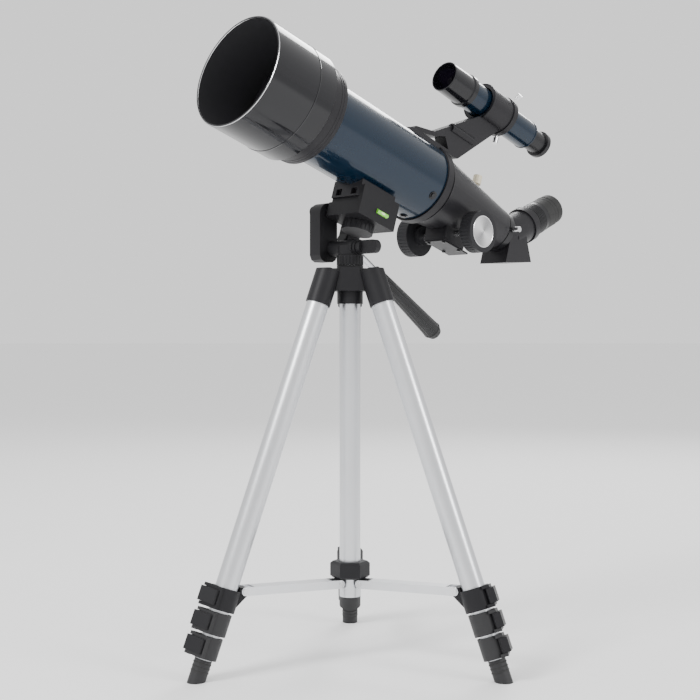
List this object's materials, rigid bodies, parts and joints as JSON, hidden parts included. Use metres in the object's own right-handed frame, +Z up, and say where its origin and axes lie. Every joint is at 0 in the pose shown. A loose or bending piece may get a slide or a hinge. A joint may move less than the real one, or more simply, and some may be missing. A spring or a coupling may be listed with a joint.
{
  "type": "tripod telescope",
  "caption": "Short refracting telescope with a finder, a diagonal and an eyepiece, on a pan head and a folding aluminium tripod with telescopic legs.",
  "frame": {"origin": "on the floor, under the middle of the whole object's box at rest", "axes": "+Z up, +Y from the two front legs' side towards the rear leg; the tube at rest points towards -X -Y and up"},
  "size_m": [0.3696, 0.3619, 0.5619],
  "materials": {
    "leg_aluminium": "satin anodised",
    "brace_aluminium": "satin",
    "tripod_plastic": "fine grain",
    "leg_section": "satin, with moulded ends",
    "vial": "tinted",
    "steel": "bright",
    "grip_rubber": "lengthwise ribs",
    "tube_plastic": "satin",
    "blue_paint": "gloss",
    "shade_gloss": "gloss",
    "glass": "coated",
    "draw_metal": "satin black",
    "knob_rubber": "ribbed rim",
    "knob_metal": "spun",
    "cream_plastic": "satin",
    "eyepiece_black": "matte black",
    "eyecup_rubber": "matte"
  },
  "bodies": {
    "tripod": {"shoulder": "tripod_plastic", "column_guide_tube": "leg_aluminium", "leg_knuckles": "tripod_plastic", "upper_leg_tubes": "leg_aluminium", "upper_leg_clamps": "tripod_plastic", "brace_hub": "tripod_plastic", "brace_arms": "brace_aluminium", "brace_rivets": "brace_aluminium"},
    "leg_1_second": {"leg_second_section_1": "leg_section"},
    "leg_1_third": {"leg_third_section_1": "leg_section"},
    "leg_1_lowest": {"leg_lowest_section_1": "leg_section"},
    "upper_lever_1_body": {"upper_lever_1": "tripod_plastic"},
    "middle_lever_1_body": {"middle_lever_1": "tripod_plastic"},
    "lower_lever_1_body": {"lower_lever_1": "tripod_plastic"},
    "leg_2_second": {"leg_second_section_2": "leg_section"},
    "leg_2_third": {"leg_third_section_2": "leg_section"},
    "leg_2_lowest": {"leg_lowest_section_2": "leg_section"},
    "upper_lever_2_body": {"upper_lever_2": "tripod_plastic"},
    "middle_lever_2_body": {"middle_lever_2": "tripod_plastic"},
    "lower_lever_2_body": {"lower_lever_2": "tripod_plastic"},
    "leg_3_second": {"leg_second_section_3": "leg_section"},
    "leg_3_third": {"leg_third_section_3": "leg_section"},
    "leg_3_lowest": {"leg_lowest_section_3": "leg_section"},
    "upper_lever_3_body": {"upper_lever_3": "tripod_plastic"},
    "middle_lever_3_body": {"middle_lever_3": "tripod_plastic"},
    "lower_lever_3_body": {"lower_lever_3": "tripod_plastic"},
    "column": {"centre_column": "leg_aluminium"},
    "lock_collar": {"column_lock_collar": "tripod_plastic"},
    "pan": {"pan_head": "tripod_plastic"},
    "wing": {"pan_lock_wing": "tripod_plastic"},
    "tube": {"tilt_platform": "tripod_plastic", "level_vial": "vial", "handle_rod": "steel", "handle_grip": "grip_rubber", "quick_release_plate": "tripod_plastic", "tube_foot": "tube_plastic", "main_tube": "blue_paint", "objective_cell": "tube_plastic", "objective_lens": "glass", "dew_shade": "shade_gloss", "focuser_body": "tube_plastic", "focuser_screws": "steel", "finder_bracket": "tube_plastic", "finder_tube": "blue_paint", "finder_hood": "shade_gloss", "finder_lens": "glass", "finder_eyepiece": "eyepiece_black", "finder_screws": "knob_metal"},
    "tilt_knob": {"tilt_lock_knob": "tripod_plastic"},
    "camera_screw_body": {"camera_screw": "tripod_plastic"},
    "focus": {"draw_tube": "draw_metal"},
    "focus_shaft": {"pinion_shaft": "steel", "focus_knobs": "knob_rubber", "focus_knob_discs": "knob_metal"},
    "focus_lock": {"focus_lock_screw": "cream_plastic"},
    "draw_screw": {"draw_tube_screw": "knob_metal"},
    "diagonal": {"diagonal_housing": "tube_plastic"},
    "eyepiece": {"eyepiece_barrel": "eyepiece_black", "eyepiece_lens": "glass", "eyecup": "eyecup_rubber"}
  },
  "joints": [
    {"name": "leg_1_second_slide", "type": "slide", "parent": "tripod", "child": "leg_1_second", "axis": [0, 0.342, -0.9397], "range_m": [0, 0.2]},
    {"name": "leg_1_third_slide", "type": "slide", "parent": "leg_1_second", "child": "leg_1_third", "axis": [0, 0.342, -0.9397], "range_m": [0, 0.2]},
    {"name": "leg_1_lowest_slide", "type": "slide", "parent": "leg_1_third", "child": "leg_1_lowest", "axis": [0, 0.342, -0.9397], "range_m": [0, 0.2]},
    {"name": "upper_lever_1_hinge", "type": "hinge", "parent": "tripod", "child": "upper_lever_1_body", "pos_m": [-0.03797, 0.09007, 0.07286], "axis": [0, 0.342, -0.9397], "range_deg": [0, 100]},
    {"name": "middle_lever_1_hinge", "type": "hinge", "parent": "leg_1_second", "child": "middle_lever_1_body", "pos_m": [-0.03759, 0.09628, 0.05277], "axis": [0, 0.342, -0.9397], "range_deg": [0, 100]},
    {"name": "lower_lever_1_hinge", "type": "hinge", "parent": "leg_1_third", "child": "lower_lever_1_body", "pos_m": [-0.03722, 0.10249, 0.03269], "axis": [0, 0.342, -0.9397], "range_deg": [0, 100]},
    {"name": "leg_2_second_slide", "type": "slide", "parent": "tripod", "child": "leg_2_second", "axis": [-0.2962, -0.171, -0.9397], "range_m": [0, 0.2]},
    {"name": "leg_2_third_slide", "type": "slide", "parent": "leg_2_second", "child": "leg_2_third", "axis": [-0.2962, -0.171, -0.9397], "range_m": [0, 0.2]},
    {"name": "leg_2_lowest_slide", "type": "slide", "parent": "leg_2_third", "child": "leg_2_lowest", "axis": [-0.2962, -0.171, -0.9397], "range_m": [0, 0.2]},
    {"name": "upper_lever_2_hinge", "type": "hinge", "parent": "tripod", "child": "upper_lever_2_body", "pos_m": [-0.16722, -0.11464, 0.07286], "axis": [-0.2962, -0.171, -0.9397], "range_deg": [0, 100]},
    {"name": "middle_lever_2_hinge", "type": "hinge", "parent": "leg_2_second", "child": "middle_lever_2_body", "pos_m": [-0.17279, -0.11742, 0.05277], "axis": [-0.2962, -0.171, -0.9397], "range_deg": [0, 100]},
    {"name": "lower_lever_2_hinge", "type": "hinge", "parent": "leg_2_third", "child": "lower_lever_2_body", "pos_m": [-0.17836, -0.1202, 0.03269], "axis": [-0.2962, -0.171, -0.9397], "range_deg": [0, 100]},
    {"name": "leg_3_second_slide", "type": "slide", "parent": "tripod", "child": "leg_3_second", "axis": [0.2962, -0.171, -0.9397], "range_m": [0, 0.2]},
    {"name": "leg_3_third_slide", "type": "slide", "parent": "leg_3_second", "child": "leg_3_third", "axis": [0.2962, -0.171, -0.9397], "range_m": [0, 0.2]},
    {"name": "leg_3_lowest_slide", "type": "slide", "parent": "leg_3_third", "child": "leg_3_lowest", "axis": [0.2962, -0.171, -0.9397], "range_m": [0, 0.2]},
    {"name": "upper_lever_3_hinge", "type": "hinge", "parent": "tripod", "child": "upper_lever_3_body", "pos_m": [0.07469, -0.12422, 0.07286], "axis": [0.2962, -0.171, -0.9397], "range_deg": [0, 100]},
    {"name": "middle_lever_3_hinge", "type": "hinge", "parent": "leg_3_second", "child": "middle_lever_3_body", "pos_m": [0.07988, -0.12765, 0.05277], "axis": [0.2962, -0.171, -0.9397], "range_deg": [0, 100]},
    {"name": "lower_lever_3_hinge", "type": "hinge", "parent": "leg_3_third", "child": "lower_lever_3_body", "pos_m": [0.08507, -0.13109, 0.03269], "axis": [0.2962, -0.171, -0.9397], "range_deg": [0, 100]},
    {"name": "column_lift", "type": "slide", "parent": "tripod", "child": "column", "axis": [0, 0, 1], "range_m": [0, 0.2]},
    {"name": "column_collar_turn", "type": "hinge", "parent": "tripod", "child": "lock_collar", "pos_m": [-0.0435, -0.0496, 0.36046], "axis": [0, 0, 1], "range_deg": [0, 90]},
    {"name": "pan", "type": "hinge", "parent": "column", "child": "pan", "pos_m": [-0.0435, -0.0496, 0.37216], "axis": [0, 0, 1], "continuous": true},
    {"name": "pan_wing_turn", "type": "hinge", "parent": "pan", "child": "wing", "pos_m": [-0.03497, -0.05804, 0.37216], "axis": [0.7108, -0.7034, 0], "range_deg": [0, 180]},
    {"name": "tilt", "type": "hinge", "parent": "pan", "child": "tube", "pos_m": [-0.06266, -0.03768, 0.40716], "axis": [-0.7108, 0.7034, 0], "range_deg": [-35, 13]},
    {"name": "tilt_knob_turn", "type": "hinge", "parent": "pan", "child": "tilt_knob", "pos_m": [-0.07545, -0.02502, 0.40716], "axis": [0.7108, -0.7034, 0], "range_deg": [0, 180]},
    {"name": "camera_screw_turn", "type": "hinge", "parent": "tube", "child": "camera_screw_body", "pos_m": [-0.03654, -0.04257, 0.38999], "axis": [0.2139, 0.2161, 0.9527], "continuous": true},
    {"name": "focus_slide", "type": "slide", "parent": "tube", "child": "focus", "axis": [0.6701, 0.6772, -0.304], "range_m": [0, 0.05]},
    {"name": "focus_knobs_turn", "type": "hinge", "parent": "tube", "child": "focus_shaft", "pos_m": [0.05041, 0.0453, 0.39253], "axis": [-0.7108, 0.7034, 0], "range_deg": [0, 360]},
    {"name": "focus_lock_turn", "type": "hinge", "parent": "tube", "child": "focus_lock", "pos_m": [0.08375, 0.07899, 0.44564], "axis": [0.2139, 0.2161, 0.9527], "range_deg": [0, 180]},
    {"name": "draw_screw_turn", "type": "hinge", "parent": "focus", "child": "draw_screw", "pos_m": [0.12259, 0.08696, 0.40099], "axis": [0.7108, -0.7034, 0], "range_deg": [0, 180]},
    {"name": "diagonal_turn", "type": "hinge", "parent": "focus", "child": "diagonal", "pos_m": [0.11365, 0.10921, 0.39795], "axis": [-0.6701, -0.6772, 0.304], "continuous": true},
    {"name": "eyepiece_slide", "type": "slide", "parent": "diagonal", "child": "eyepiece", "axis": [0.646, 0.6528, 0.3955], "range_m": [0, 0.022]}
  ],
  "couplings": [
    {"joint": "focus_knobs_turn", "follows": "focus_slide", "rad_per_m": 125}
  ]
}
